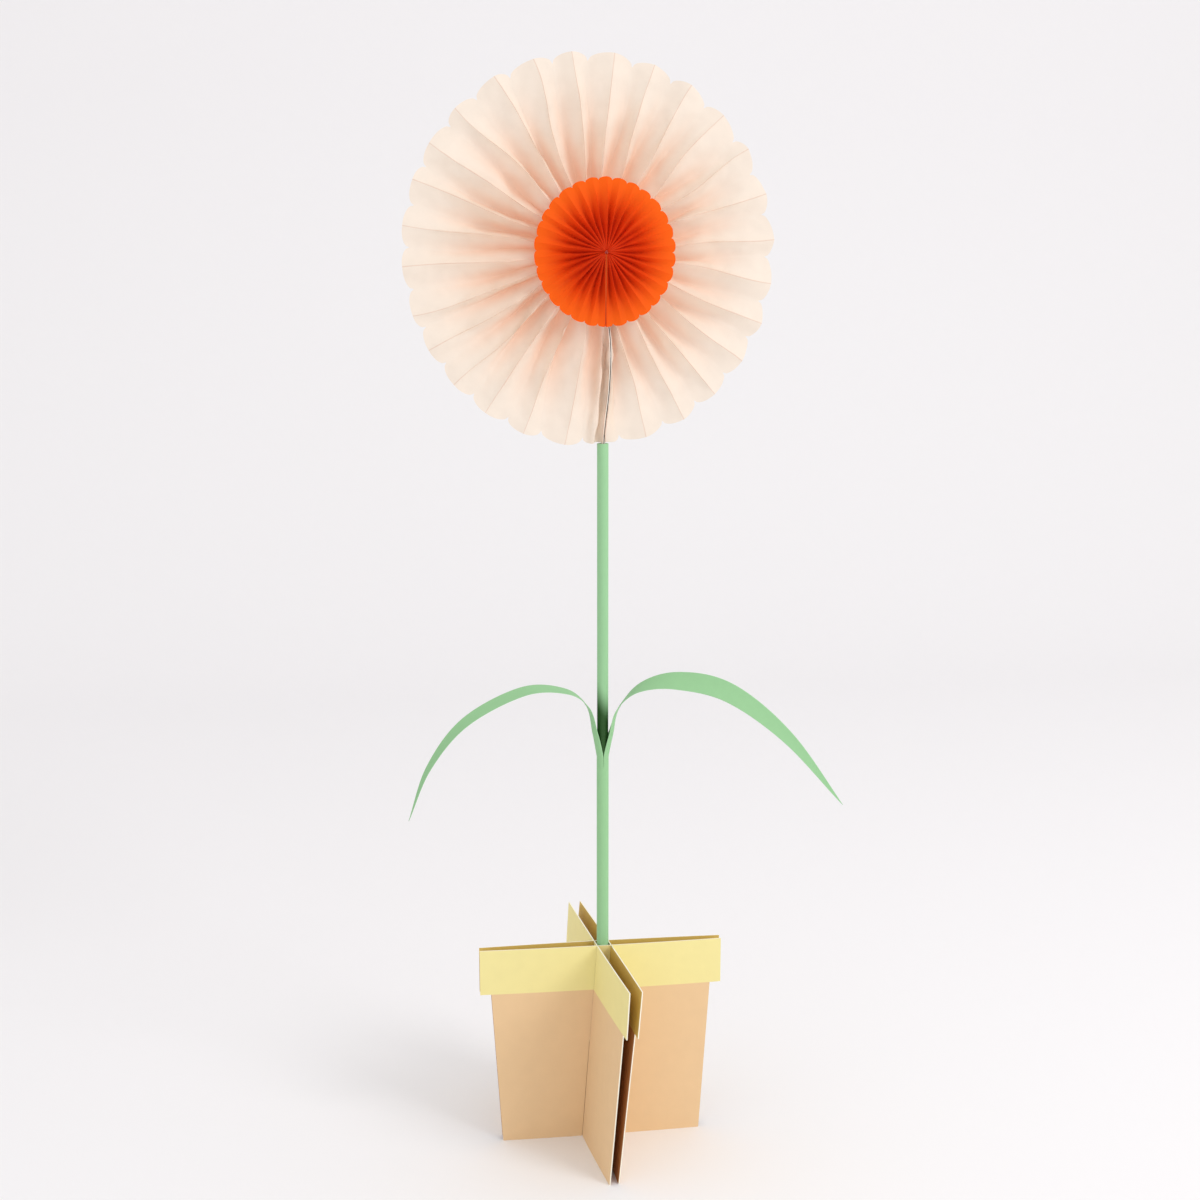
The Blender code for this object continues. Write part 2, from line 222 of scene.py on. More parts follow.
def fade(nodes, links, value, low, high):
    """A smooth mask that goes from 0 at LOW to 1 at HIGH, also when HIGH is the smaller."""
    node = nodes.new("ShaderNodeMapRange")
    node.interpolation_type = "SMOOTHSTEP"
    links.new(value, node.inputs["Value"])
    reverse = low > high
    node.inputs["From Min"].default_value, node.inputs["From Max"].default_value = sorted((low, high))
    node.inputs["To Min"].default_value = 1.0 if reverse else 0.0
    node.inputs["To Max"].default_value = 0.0 if reverse else 1.0
    return node.outputs["Result"]


# %% [markdown]
# ### The studio
#
# The sweep is one extruded profile: flat floor, quarter bend, upright wall.

# %% Floor, backdrop and lights
SWEEP_FRONT, SWEEP_BACK, SWEEP_BEND, SWEEP_TOP, SWEEP_HALF = -4.0, 1.6, 1.2, 5.0, 6.0
BEND_STEPS = 24
SWEEP_WHITE, SURROUND_STRENGTH = (0.885, 0.868, 0.877), 0.92

profile = [(SWEEP_FRONT, 0.0), (SWEEP_BACK, 0.0)]
for step in range(1, BEND_STEPS + 1):
    angle = math.pi / 2 * step / BEND_STEPS
    profile.append((SWEEP_BACK + SWEEP_BEND * math.sin(angle), SWEEP_BEND * (1 - math.cos(angle))))
profile.append((SWEEP_BACK + SWEEP_BEND, SWEEP_TOP))
sweep_mesh = grid_mesh("studio_sweep", [[(x, y, z) for x in (-SWEEP_HALF, SWEEP_HALF)] for y, z in profile])
sweep_paper, _, _, shader = start_material("studio_paper", 0.95, 0.0)
shader.inputs["Base Color"].default_value = (*SWEEP_WHITE, 1)
add_object("studio_sweep", sweep_mesh, sweep_paper)

world = bpy.data.worlds.new("studio_surround")
world.use_nodes = True
world.node_tree.nodes["Background"].inputs["Color"].default_value = (1.0, 1.0, 1.0, 1)
world.node_tree.nodes["Background"].inputs["Strength"].default_value = SURROUND_STRENGTH
bpy.context.scene.world = world


def soft_lamp(name, place, aim, size, power):
    data = bpy.data.lights.new(name, "AREA")
    data.shape, data.size, data.energy = "DISK", size, power
    lamp = bpy.data.objects.new(name, data)
    lamp.location = place
    lamp.rotation_euler = (Vector(aim) - Vector(place)).to_track_quat("-Z", "Y").to_euler()
    bpy.context.scene.collection.objects.link(lamp)


soft_lamp("key_lamp", (2.0, -1.9, 2.1), (0, 0, 0.5), 1.4, 35)
print("studio: sweep", len(profile), "rows")

# %% [markdown]
# ## Paper grain
#
# All the pieces are paper, so they share one effect. Paper is never quite even: its fibres
# clump into faint clouds a few millimetres wide, and its surface has a fine tooth. The group
# puts out a tone to multiply a colour by, and a height for a Bump node.

# %% Paper grain group
TOOTH_STRENGTH = 0.35

grain, taken, given = start_group(
    "paper_grain",
    [("Cloud Scale", "NodeSocketFloat", 150.0), ("Tooth Scale", "NodeSocketFloat", 1400.0),
     ("Amount", "NodeSocketFloat", 0.05)],
    [("Tone", "NodeSocketFloat"), ("Height", "NodeSocketFloat")])
spot = grain.nodes.new("ShaderNodeTexCoord")
parts = []
for label, detail in (("Cloud Scale", 3.0), ("Tooth Scale", 2.0)):
    texture = grain.nodes.new("ShaderNodeTexNoise")
    texture.inputs["Detail"].default_value = detail
    grain.links.new(spot.outputs["Object"], texture.inputs["Vector"])
    grain.links.new(taken.outputs[label], texture.inputs["Scale"])
    parts.append(texture.outputs["Fac"])
clouds = calculate(grain.nodes, grain.links, "SUBTRACT", parts[0], 0.5)
scaled = calculate(grain.nodes, grain.links, "MULTIPLY", clouds, taken.outputs["Amount"])
grain.links.new(calculate(grain.nodes, grain.links, "ADD", scaled, 1.0), given.inputs["Tone"])
grain.links.new(parts[1], given.inputs["Height"])
print("groups:", [group.name for group in bpy.data.node_groups])


def add_grain(nodes, links, shader, colour, amount, depth, cloud=150.0, tooth=1400.0):
    """Multiplies a colour by the paper's clouds and roughens the surface with its tooth."""
    group = place_group(nodes, grain, Amount=amount, Cloud_Scale=cloud, Tooth_Scale=tooth)
    toned = nodes.new("ShaderNodeVectorMath")
    toned.operation = "SCALE"
    if isinstance(colour, bpy.types.NodeSocket):
        links.new(colour, toned.inputs[0])
    else:
        toned.inputs[0].default_value = colour
    links.new(group.outputs["Tone"], toned.inputs["Scale"])
    links.new(toned.outputs[0], shader.inputs["Base Color"])
    bump = nodes.new("ShaderNodeBump")
    bump.inputs["Strength"].default_value = TOOTH_STRENGTH
    bump.inputs["Distance"].default_value = depth
    links.new(group.outputs["Height"], bump.inputs["Height"])
    links.new(bump.outputs["Normal"], shader.inputs["Normal"])
    return toned.outputs[0], bump.outputs["Normal"]


# %% [markdown]
# ## Pot cards
#
# The pot is four flat cards cut to a flowerpot's outline. Two pairs slot into each other, and
# each pair bows a little around the stem. The solids already have the true shape, so the card
# only needs a finish: a pale yellow rim and a terracotta body printed as flat fields, and a
# bare cream core wherever the card is cut. A cut face is one whose normal lies in the plane of
# the card, so each card is given the direction across its thickness to compare with, pointing
# towards its twin. The two faces of that narrow gap carry painted shade: both printed fields get
# a second, darker and deeper tone there, for the shade and bounced light between the twins.

# %% Printed card
POT_HEIGHT, RIM_HEIGHT, PRINT_EDGE = 170 * MM, 38.5 * MM, 0.15 * MM
ALONG_TURN = math.radians(-83.6)  # of the front-to-back pair, from the pair across
RIM_YELLOW, BODY_CLAY, CARD_CORE = (0.85, 0.755, 0.34), (0.79, 0.555, 0.32), (0.93, 0.88, 0.74)
# The second pair of colours is painted shade: deeper tones of the printed fields on the faces inside the
# gap.
GAP_SHADE_YELLOW, GAP_SHADE_CLAY = (0.70, 0.50, 0.13), (0.56, 0.25, 0.08)


def printed_and_shaded_card(name, inward):
    """Card finish: printed fields outside, painted shade in deeper tones on the INWARD face, bare core
    where cut.
    """
    made, nodes, links, shader = start_material(name, 0.62, 0.25)
    place = nodes.new("ShaderNodeTexCoord")
    height = nodes.new("ShaderNodeSeparateXYZ")
    links.new(place.outputs["Object"], height.inputs[0])
    rim_foot = POT_HEIGHT - RIM_HEIGHT
    rim = fade(nodes, links, height.outputs["Z"], rim_foot - PRINT_EDGE, rim_foot + PRINT_EDGE)
    fields = blend_colours(nodes, links, rim, BODY_CLAY, RIM_YELLOW)
    facing = nodes.new("ShaderNodeNewGeometry")
    compare = nodes.new("ShaderNodeVectorMath")
    compare.operation = "DOT_PRODUCT"
    links.new(facing.outputs["True Normal"], compare.inputs[0])
    compare.inputs[1].default_value = inward
    # Faces turned towards the twin get the painted shade.
    shaded_face = fade(nodes, links, compare.outputs["Value"], 0.7, 0.9)
    shaded_fields = blend_colours(nodes, links, rim, GAP_SHADE_CLAY, GAP_SHADE_YELLOW)
    fields = blend_colours(nodes, links, shaded_face, fields, shaded_fields)
    flatness = calculate(nodes, links, "ABSOLUTE", compare.outputs["Value"])
    cut = fade(nodes, links, flatness, 0.6, 0.3)
    colour = blend_colours(nodes, links, cut, fields, CARD_CORE)
    add_grain(nodes, links, shader, colour, 0.06, 0.00004, cloud=90.0)
    return made


to_right = (-math.sin(ALONG_TURN), math.cos(ALONG_TURN), 0)
to_left = tuple(-c for c in to_right)
inward_ways = {"front": (0, 1, 0), "back": (0, -1, 0), "left": to_right, "right": to_left}


def smooth_copy(name, finish, angle):
    """A copy of a solid's mesh, welded, and shaded smooth where it bends by less than ANGLE."""
    welded = bmesh.new()
    welded.from_mesh(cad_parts[name].data)
    bmesh.ops.remove_doubles(welded, verts=welded.verts, dist=WELD)
    mesh = bpy.data.meshes.new(f"{name}_smooth")
    welded.to_mesh(mesh)
    welded.free()
    mesh.shade_smooth()
    mesh.set_sharp_from_angle(angle=angle)
    made = add_object(f"{name}_printed", mesh, finish)
    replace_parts(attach(made, "root"), name)
    return made


for side, inward in inward_ways.items():
    card = smooth_copy(f"pot_card_{side}", printed_and_shaded_card(f"card_{side}", inward), math.radians(20))
    print(card.name, len(card.data.polygons), "faces")

# %% [markdown]
# ## Stem
#
# The stem is a thin tube rolled from green paper. The tube of the leaves hides it up to the
# slit. Between the opened leaves the bare stem lies in deep shade, painted here as a much darker
# green that fades upwards: the painted shade is a mask of height that starts lower on the right
# than on the left. The foot of the tube leans to the left inside the pot, together with the
# cards round it.

# %% Stem tube
STEM_WALL, TUBE_FOOT = 0.6 * MM, stem_low.z
STEM_TOP = stem_high.z
KINK_HEIGHT, KINK_HALF = POT_HEIGHT - 4 * MM, 4 * MM  # rings just below and above the kink
KINK_LEAN = math.tan(math.radians(4.2))
SPLIT_HEIGHT = 332 * MM
STEM_SIDES, LIP = 64, 0.12 * MM
# The second green is painted shade on the bare stem between the opened leaves.
STEM_GREEN, STEM_SHADE_GREEN = (0.30, 0.555, 0.295), (0.018, 0.075, 0.012)
SHADE_FULL_UP_TO, SHADE_GONE_FROM = SPLIT_HEIGHT + 32 * MM, SPLIT_HEIGHT + 60 * MM
SHADE_SLANT = 1.4  # how steeply the shade's edge falls towards the right


def tube_ring(radius, z, sides, first=0.0, last=math.tau):
    """Points round the stem's axis from the front by the left; below the kink the axis leans."""
    shift = min(0.0, z - KINK_HEIGHT) * KINK_LEAN
    whole = last - first == math.tau
    turns = np.linspace(first, last, sides, endpoint=not whole)
    return [on_stem(shift - radius * math.sin(t), -radius * math.cos(t), z) for t in turns]


def stem_finish():
    made, nodes, links, shader = start_material("stem_paper", 0.55, 0.3)
    place = nodes.new("ShaderNodeTexCoord")
    axes = nodes.new("ShaderNodeSeparateXYZ")
    links.new(place.outputs["Object"], axes.inputs[0])
    tilt = calculate(nodes, links, "SUBTRACT", axes.outputs["X"], axis_x)
    slanted = calculate(nodes, links, "MULTIPLY_ADD", tilt, SHADE_SLANT, axes.outputs["Z"])
    # Painted shade: darker green on the bare stem above the split, fading upwards.
    shade_mask = fade(nodes, links, slanted, SHADE_GONE_FROM, SHADE_FULL_UP_TO)
    colour = blend_colours(nodes, links, shade_mask, STEM_GREEN, STEM_SHADE_GREEN)
    add_grain(nodes, links, shader, colour, 0.04, 0.00003)
    return made


# (radius, height) of each ring: up the outside, over the lip, down the inside and round the foot
inside = STEM_RADIUS - STEM_WALL
kink = (KINK_HEIGHT - KINK_HALF, KINK_HEIGHT + KINK_HALF)
shaft = np.linspace(SPLIT_HEIGHT - 20 * MM, STEM_TOP - LIP, 12)
loops = [(STEM_RADIUS, z) for z in (TUBE_FOOT, *kink, *shaft)]
loops += [(STEM_RADIUS - LIP, STEM_TOP), (inside + LIP, STEM_TOP), (inside, STEM_TOP - LIP)]
loops += [(inside, z) for z in (kink[1], kink[0], TUBE_FOOT)]
loops.append(loops[0])
rings = [tube_ring(radius, z, STEM_SIDES) for radius, z in loops]
stem_mesh = grid_mesh("stem", rings, wrap=True, flip=True)
welded = bmesh.new()
welded.from_mesh(stem_mesh)
bmesh.ops.remove_doubles(welded, verts=welded.verts, dist=WELD)
bmesh.ops.recalc_face_normals(welded, faces=welded.faces)
welded.to_mesh(stem_mesh)
welded.free()
stem_mesh.set_sharp_from_angle(angle=math.radians(50))
stem = add_object("stem", stem_mesh, stem_finish())
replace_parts(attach(stem, "root"), "stem_tube")
print("stem", len(stem_mesh.polygons), "faces, top at", round(STEM_TOP / MM), "mm")

# %% [markdown]
# ## Leaves
#
# One light green tube slides over the stem. It is slit along the front and the back from
# SPLIT_HEIGHT up, and each half is bent out over a finger, so that the gutter opens, flattens,
# turns its inner face up and tapers to a point. The same section is swept along a midline: its
# half width, its curl and its roll all change with the share of the way to the tip.

# %% Leaf sleeve
SLEEVE_RADIUS, SLEEVE_WALL = 4.65 * MM, 0.25 * MM
STRIP_HALF = math.pi * SLEEVE_RADIUS / 2
SLEEVE_MIDDLE = 240 * MM
STATIONS, COLUMNS = 110, 28  # along a leaf and across it
SEAM, SEAM_ROWS, SLIT_GAP = 10 * MM, 6, 0.02  # the slit starts as a crack SLIT_GAP radians wide
LEAF_GREEN, LEAF_EDGE = (0.295, 0.55, 0.28), (0.38, 0.66, 0.37)
# Each LINE is (reach from the stem's axis, height) along the middle of the leaf, mm
LEAVES = {
    "left": {
        "side": -1, "swing": math.radians(5), "roll": math.radians(22), "half": 7.6 * MM, "taper": 0.50,
        "line": ((4.65, 332), (8.3, 352), (13.6, 375), (31, 388), (66, 389.5), (113, 367), (143, 331),
                 (160, 288))},
    "right": {
        "side": 1, "swing": math.radians(20), "roll": math.radians(62), "half": 8.6 * MM, "taper": 0.62,
        "line": ((4.65, 332), (8.3, 350), (13.6, 373), (31, 391), (62, 398), (104, 390), (151, 356),
                 (196, 303))},
}
# Shares of the way to the tip, by which a leaf has swung, starts and ends its roll, and so on
SWUNG, ROLL_FROM, ROLL_OVER, SQUARED = 0.35, 0.25, 0.5, 0.05
WIDEN_FROM, WIDEN_OVER, FLAT_BY = 0.3, 0.3, 0.36
TIP_WIDTH, TAPER_POWER, LAST_CURL, LINE_STEP = 0.015, 1.9, 0.05, 0.01


def leaf_section(leaf, share):
    """Points across a leaf: half a tube at the split that opens flat, rolls and tapers."""
    side = leaf["side"]
    reach, height = along_line(leaf["line"], share) * MM
    before, after = max(share - LINE_STEP, 0.0), min(1.0, share + LINE_STEP)
    ahead = along_line(leaf["line"], after) - along_line(leaf["line"], before)
    ahead /= np.linalg.norm(ahead)
    heading = leaf["swing"] * smooth_step(share / SWUNG)
    out = Vector((side * math.cos(heading), -math.sin(heading), 0))
    tangent = (out * ahead[0] + Vector((0, 0, 1)) * ahead[1]).normalized()
    across = Vector((side * math.sin(heading), math.cos(heading), 0))
    roll = leaf["roll"] * smooth_step((share - ROLL_FROM) / ROLL_OVER)
    across.rotate(Matrix.Rotation(side * roll, 3, tangent))
    face = tangent.cross(across) * side
    square = smooth_step(share / SQUARED)
    face = (face * square - out * (1 - square)).normalized()
    half = STRIP_HALF + (leaf["half"] - STRIP_HALF) * smooth_step((share - WIDEN_FROM) / WIDEN_OVER)
    to_tip = max(0.0, (share - leaf["taper"]) / (1 - leaf["taper"]))
    half *= 1 - (1 - TIP_WIDTH) * to_tip ** TAPER_POWER
    curl = math.pi / 2 * (1 - (1 - LAST_CURL) * smooth_step(share / FLAT_BY))
    radius = half / curl
    middle = on_stem(out.x * reach, out.y * reach, height)
    angles = np.linspace(-curl, curl, COLUMNS + 1)
    return [middle + (across * math.sin(a) + face * (1 - math.cos(a))) * radius for a in angles]


def leaf_finish():
    made, nodes, links, shader = start_material("leaf_paper", 0.6, 0.3)
    place = nodes.new("ShaderNodeAttribute")
    place.attribute_name = "edge"
    edge = fade(nodes, links, place.outputs["Fac"], 0.93, 1.0)
    colour = blend_colours(nodes, links, edge, LEAF_GREEN, LEAF_EDGE)
    add_grain(nodes, links, shader, colour, 0.05, 0.00003)
    return made


# Below the seam one closed tube; from there up two halves, whose first rows open the slit
low_heights = (TUBE_FOOT, *kink, SLEEVE_MIDDLE, SPLIT_HEIGHT - SEAM)
low_rings = [tube_ring(SLEEVE_RADIUS, z, 2 * COLUMNS) for z in low_heights]
sheets = [grid_mesh("leaf_sleeve_tube", low_rings, wrap=True, flip=True)]
for name, leaf in LEAVES.items():
    left = leaf["side"] < 0
    heights = np.linspace(SPLIT_HEIGHT - SEAM, SPLIT_HEIGHT, SEAM_ROWS)
    rows = []
    for gap, z in zip(np.linspace(0.0, SLIT_GAP, SEAM_ROWS), heights):
        first, last = (gap, math.pi - gap) if left else (math.tau - gap, math.pi + gap)
        rows.append(tube_ring(SLEEVE_RADIUS, z, COLUMNS + 1, first, last))
    rows += [leaf_section(leaf, station / STATIONS) for station in range(1, STATIONS + 1)]
    mesh = grid_mesh(f"leaf_{name}", rows, flip=left)
    edge = np.tile(np.abs(np.linspace(-1, 1, COLUMNS + 1)), (len(rows), 1))
    edge[:SEAM_ROWS] = 0
    store(mesh, "edge", edge)
    sheets.append(mesh)
joined = bmesh.new()
for mesh in sheets:
    joined.from_mesh(mesh)
bmesh.ops.remove_doubles(joined, verts=joined.verts, dist=2 * WELD)
sleeve_mesh = bpy.data.meshes.new("leaf_sleeve")
joined.to_mesh(sleeve_mesh)
joined.free()
sleeve_mesh.shade_smooth()
sleeve = add_object("leaves", sleeve_mesh, leaf_finish())
wall = sleeve.modifiers.new("Wall", "SOLIDIFY")
wall.thickness, wall.offset = SLEEVE_WALL, 1
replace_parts(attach(sleeve, "root"), "leaf_sleeve")
print("leaves", len(sleeve_mesh.polygons), "faces before the wall is added")

# %% [markdown]
# ## Pleated tissue
#
# Each fan is one long strip of tissue folded like an accordion and bent round until its two end
# panels meet, each glued to a strip of stiff card. A ridge stands towards the viewer, a valley
# away, and the outer edge of every fold is cut round. Tissue is too thin to stay flat, so the
# panels here hang in soft valleys between crisp ridges, and every fold strays a little from its
# true line. The sheet is built as a grid: columns follow the folds, rows follow the radius.
#
# The slit of the large fan is not straight: its two stiff cards bow to the right on the way down
# and come back over the stem. Only the fold next to them follows, and on its left the slack
# tissue is pushed up into a soft extra ridge with a valley beside it.

# %% Fan measurements
# (distance from the hub, sideways) along the large fan's bowed slit, mm
SLIT_LINE = ((0, 0), (35, 7.5), (70, 12.9), (105, 12.3), (140, 8.8), (175, 8.3), (210, 8.3))
PETAL_TURN, PLEAT_SHIFT = math.radians(3.4), math.radians(3.2)
BOW_REACH = math.radians(8)
# Slack beside the slit: (pitches from the slit, half width in pitches, how far it stands out)
SLACK = ((0.27, 0.08, 3.5 * MM), (0.11, 0.055, -8 * MM))
PETALS = {"pleats": 28, "tip": 149.4 * MM, "end_tip": 146.5 * MM, "notch": 142.5 * MM, "hub": 12 * MM,
          "panel": 18 * MM, "card": 0.6 * MM, "slit": 0.7 * MM, "across": 12, "rows": 64, "sag": 1.5,
          "stray": 3.2 * MM, "puff": 1.9 * MM, "packed": 80 * MM, "seed": 3.0}
CENTRE = {"pleats": 30, "tip": 56.6 * MM, "end_tip": 56.3 * MM, "notch": 54.2 * MM, "hub": 1.4 * MM,
          "panel": 6.3 * MM, "card": 0.4 * MM, "slit": 0.3 * MM, "across": 8, "rows": 44, "sag": 1.3,
          "stray": 0.9 * MM, "puff": 0.25 * MM, "packed": 34 * MM, "seed": 11.0}
GLUE_GAP = 0.25 * MM
FOLD_UNEVEN, RIM_OPENING = 0.08, 0.5  # folds differ in height by this; valleys lose this at the rim
STRAY_WAVES = (0.55, 0.45, 0.3)  # strengths of one, two and three half waves along a crease


def slit_aside(reach):
    """How far the bowed slit lies to the right, REACH from the hub; both may be arrays."""
    steps = np.linspace(0, 1, 211)
    line = np.array([along_line(SLIT_LINE, step) for step in steps])
    return np.interp(reach, line[:, 0] * MM, line[:, 1] * MM)


def fold_angles(fan, pitches, radius):
    """Where a fold stands round the hub: evenly spaced, then turned, shifted and bowed at the slit."""
    share = pitches / fan["pleats"]
    gap = np.arcsin((fan["slit"] / 2 + fan["card"] + GLUE_GAP) / radius)
    even = gap + (math.tau - 2 * gap) * share
    if fan is CENTRE:
        return even
    shift = PLEAT_SHIFT * math.sin(math.pi * share) ** 2
    from_slit = math.tau * min(share, 1 - share)
    bow = np.arcsin(slit_aside(radius) / radius) - PETAL_TURN
    return even - PETAL_TURN - shift - bow * math.exp(-(from_slit / BOW_REACH) ** 2)


def rise(fan, radius):
    """How far ridges and valleys stand off the fan's middle: a panel keeps its width as it opens."""
    return np.sqrt(fan["panel"] ** 2 - (math.pi * radius / fan["pleats"]) ** 2) / 2


def card_front(fan, radius):
    """Depth of the slit's front edge: straight, from the ridges at the hub to those at the rim."""
    at_hub, at_tip = rise(fan, fan["hub"]), rise(fan, fan["tip"])
    return at_hub + (at_tip - at_hub) * (radius - fan["hub"]) / (fan["tip"] - fan["hub"])


def fold_columns(fan):
    """Every column of the sheet: pitches from the slit, 0 at a ridge to 1 at a valley, its panel
    (-1 and the last are the glued ends) and the share of the way across that panel."""
    steps = np.linspace(0, 1, fan["across"] + 1)[:-1]
    columns = [(0.0, 1 - s, -1, s) for s in steps]
    for panel in range(2 * fan["pleats"]):
        for s in steps:
            columns.append(((panel + s) / 2, s if panel % 2 == 0 else 1 - s, panel, s))
    last = 2 * fan["pleats"]
    columns += [(last / 2, s, last, s) for s in (*steps, 1.0)]
    return columns


def stray_lines(fan, count, rng, along):
    """How far each crease strays sideways along its length, as CREASES x ROWS."""
    waves = rng.normal(size=(count, 3)) * STRAY_WAVES
    shapes = np.array([np.sin(math.pi * k * along / 1.15) for k in (1, 2, 3)])
    return fan["stray"] * waves @ shapes * smooth_step(along / 0.5)


def slack_beside_slit(pitches):
    """How far the slack tissue left of the slit stands out from its panel."""
    return sum(height * math.exp(-((pitches - middle) / half) ** 2) for middle, half, height in SLACK)


def fan_points(fan):
    """The sheet's grid in its own place, and each point's share of the radius and of a panel."""
    rng = np.random.default_rng(int(fan["seed"]))
    pleats, hub = fan["pleats"], fan["hub"]
    along = np.linspace(0, 1, fan["rows"])
    columns = fold_columns(fan)
    creases = 2 * pleats + 1
    stray = stray_lines(fan, creases, rng, along)
    stray[[0, -1]] = 0
    height = 1 + FOLD_UNEVEN * rng.normal(size=creases)
    height[[0, -1]] = 1
    grid = np.zeros((fan["rows"], len(columns), 3))
    valley = np.zeros((fan["rows"], len(columns)))
    for place, (pitches, u, panel, share) in enumerate(columns):
        near_slit = 1 - smooth_step(min(pitches, pleats - pitches) / 0.5)
        tip = fan["tip"] + (fan["end_tip"] - fan["tip"]) * near_slit
        rim = fan["notch"] + (tip - fan["notch"]) * math.sqrt(max(0.0, 1 - u * u))
        radius = hub + (rim - hub) * along
        turn = fold_angles(fan, pitches, radius)
        if 0 <= panel < 2 * pleats:
            turn = turn + (stray[panel] * (1 - share) + stray[panel + 1] * share) / radius
            lift = height[panel] * (1 - share) + height[panel + 1] * share
            sag = 1 + (fan["sag"] - 1) * smooth_step(along / 0.5)
            top = rise(fan, radius) * lift
            top = top + (card_front(fan, radius) - top) * near_slit ** 3
            drop = 2 * rise(fan, radius) * smooth_step(radius / fan["packed"])
            drop = drop * (1 - RIM_OPENING * smooth_step((along - 0.5) / 0.5))
            depth = top - drop * (1 - (1 - u) ** sag)
            if fan is PETALS and pitches < 0.5:
                depth = depth + slack_beside_slit(pitches) * smooth_step((along - 0.25) / 0.3)
        else:
            depth = card_front(fan, radius) - fan["panel"] * u
        grid[:, place] = np.stack([-radius * np.sin(turn), -depth, -radius * np.cos(turn)], axis=-1)
        valley[:, place] = u
    return grid, np.repeat(along[:, None], len(columns), axis=1), valley


DENT_SIZE = 1.3  # in panels
FINE_DENT, FINER = 0.4, 2.7  # strength and number of the small dents, to the large ones


def puffed(grid, fan):
    """Pushes the sheet in and out along its own normal, in soft dents a few centimetres wide."""
    down = np.gradient(grid, axis=0)
    side = np.gradient(grid, axis=1)
    normal = np.cross(down, side)
    normal /= np.linalg.norm(normal, axis=-1, keepdims=True) + 1e-12
    flat = grid.reshape(-1, 3) / (fan["panel"] * DENT_SIZE) + fan["seed"]
    push = np.array([noise.noise(Vector(p)) + FINE_DENT * noise.noise(Vector(p) * FINER) for p in flat])
    return grid + normal * (push.reshape(grid.shape[:2]) * fan["puff"])[..., None]


print("pleats:", PETALS["pleats"], "and", CENTRE["pleats"])

# %% [markdown]
# ### Tissue finish
#
# Tissue is thin enough for light to come through, so its surface mixes an ordinary rough shader
# with a Translucent one. It also looks paler at the rim, where one layer hangs alone, than near
# the hub, where many layers lie behind each other, and light that bounces between two panels
# leaves the inner valleys a stronger, warmer colour. Along each ridge's outer half the fold
# itself shows as a fine line.

# %% Tissue material
GLOW_STRENGTH, CREASE_STRENGTH = 0.7, 0.5


def tissue_finish(name, hub_colour, rim_colour, crease_colour, glow, through):
    """Tissue: GLOW is the colour of its inner valleys, THROUGH its share of translucence."""
    made, nodes, links, shader = start_material(name, 0.75, 0.2)
    reads = {}
    for label in ("along", "valley"):
        node = nodes.new("ShaderNodeAttribute")
        node.attribute_name = label
        reads[label] = node.outputs["Fac"]
    outward = fade(nodes, links, reads["along"], 0.25, 1.0)
    colour = blend_colours(nodes, links, outward, hub_colour, rim_colour)
    shade_mask = fade(nodes, links, reads["valley"], 0.25, 1.0)
    inner = fade(nodes, links, reads["along"], 1.0, 0.2)
    shade = calculate(nodes, links, "MULTIPLY", shade_mask, inner)
    shade = calculate(nodes, links, "MULTIPLY", shade, GLOW_STRENGTH)
    colour = blend_colours(nodes, links, shade, colour, glow)
    line = fade(nodes, links, reads["valley"], 0.035, 0.0)
    outer = fade(nodes, links, reads["along"], 0.35, 0.8)
    line = calculate(nodes, links, "MULTIPLY", line, outer)
    line = calculate(nodes, links, "MULTIPLY", line, CREASE_STRENGTH)
    colour = blend_colours(nodes, links, line, colour, crease_colour)
    toned, normal = add_grain(nodes, links, shader, colour, 0.10, 0.00012, cloud=60.0, tooth=500.0)
    light = nodes.new("ShaderNodeBsdfTranslucent")
    links.new(toned, light.inputs["Color"])
    links.new(normal, light.inputs["Normal"])
    both = nodes.new("ShaderNodeMixShader")
    both.inputs[0].default_value = through
    links.new(shader.outputs[0], both.inputs[1])
    links.new(light.outputs[0], both.inputs[2])
    links.new(both.outputs[0], nodes["Material Output"].inputs["Surface"])
    return made


petal_tissue = tissue_finish(
    "petal_tissue", hub_colour=(0.93, 0.78, 0.66), rim_colour=(0.91, 0.80, 0.69),
    crease_colour=(0.74, 0.48, 0.36), glow=(0.90, 0.44, 0.24), through=0.42)
centre_tissue = tissue_finish(
    "centre_tissue", hub_colour=(0.80, 0.05, 0.002), rim_colour=(0.97, 0.14, 0.005),
    crease_colour=(0.90, 0.08, 0.0), glow=(0.42, 0.004, 0.0), through=0.38)
print("tissues:", petal_tissue.name, "and", centre_tissue.name)


# %% [markdown]
# ### Fans and the cards in their slits
#
# The grid becomes a mesh, is set in its place on the head, and takes the shares it was made
# with as attributes for the material. Ridges stay sharp and everything else is smooth. The two
# cards of each slit are thin strips; those of the large fan bow with the slit and end in a tab
# that goes down into the stem.

# %% Fans
def at_place(points, place):
    """The points, given on the head, moved to where PLACE puts them."""
    flat = np.asarray(points, float).reshape(-1, 3)
    matrix = np.array(place)
    return (flat @ matrix[:3, :3].T + matrix[:3, 3]).reshape(np.shape(points))


def make_fan(name, fan, place, finish):
    grid, along, valley = fan_points(fan)
    grid = puffed(grid, fan)
    mesh = grid_mesh(name, at_place(grid, place))
    mesh.set_sharp_from_angle(angle=math.radians(38))
    store(mesh, "along", along)
    store(mesh, "valley", valley)
    made = add_object(name, mesh, finish)
    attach(made, "root")
    print(name, len(mesh.polygons), "faces")
    return made


